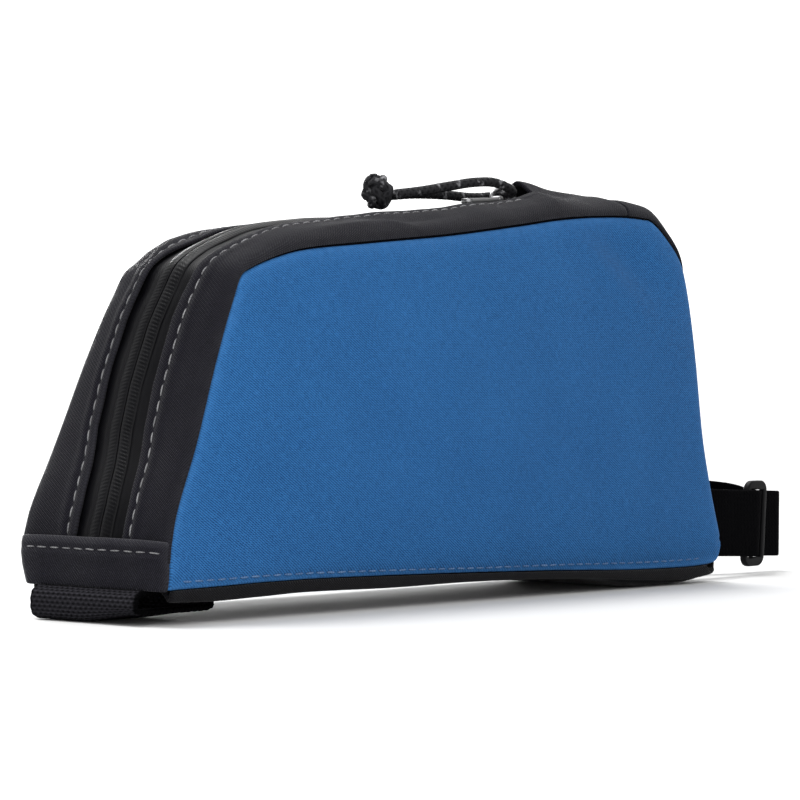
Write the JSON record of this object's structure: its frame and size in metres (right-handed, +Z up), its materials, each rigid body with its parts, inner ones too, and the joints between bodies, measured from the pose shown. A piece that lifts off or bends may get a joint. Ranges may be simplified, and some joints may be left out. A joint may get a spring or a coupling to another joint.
{
  "type": "bicycle frame bag",
  "caption": "Soft wedge-shaped bicycle bag with blue sides, a zipper up the low end and along the top with a knotted cord pull, a webbing loop beneath and a buckled strap at the tall end.",
  "frame": {"origin": "middle of the bounding box at the level the bag stands on", "axes": "+X from the low end to the stem end, +Y from the near side to the far side, +Z up"},
  "size_m": [0.2936, 0.0518, 0.1111],
  "materials": {
    "blue_cloth": "fine woven blue polyester, padded behind",
    "black_cloth": "charcoal twill with light grey topstitching",
    "zipper": "coated zipper tape over a moulded coil",
    "slider_metal": "grey plated slider with a round wire bail",
    "cord": "black braided cord with pale flecks",
    "webbing": "black ribbed webbing",
    "black_plastic": "black moulded plastic"
  },
  "bodies": {
    "root": {"side_panel_near": "blue_cloth", "side_panel_far": "blue_cloth", "top_gusset": "black_cloth", "zipper_tape": "zipper", "zipper_slider": "slider_metal", "pull_cord": "cord", "pull_knot": "cord", "end_band": "black_cloth", "base_panel": "black_cloth", "stem_panel": "black_cloth", "tube_loop": "webbing", "stem_strap": "webbing", "strap_slider": "black_plastic"}
  },
  "joints": []
}
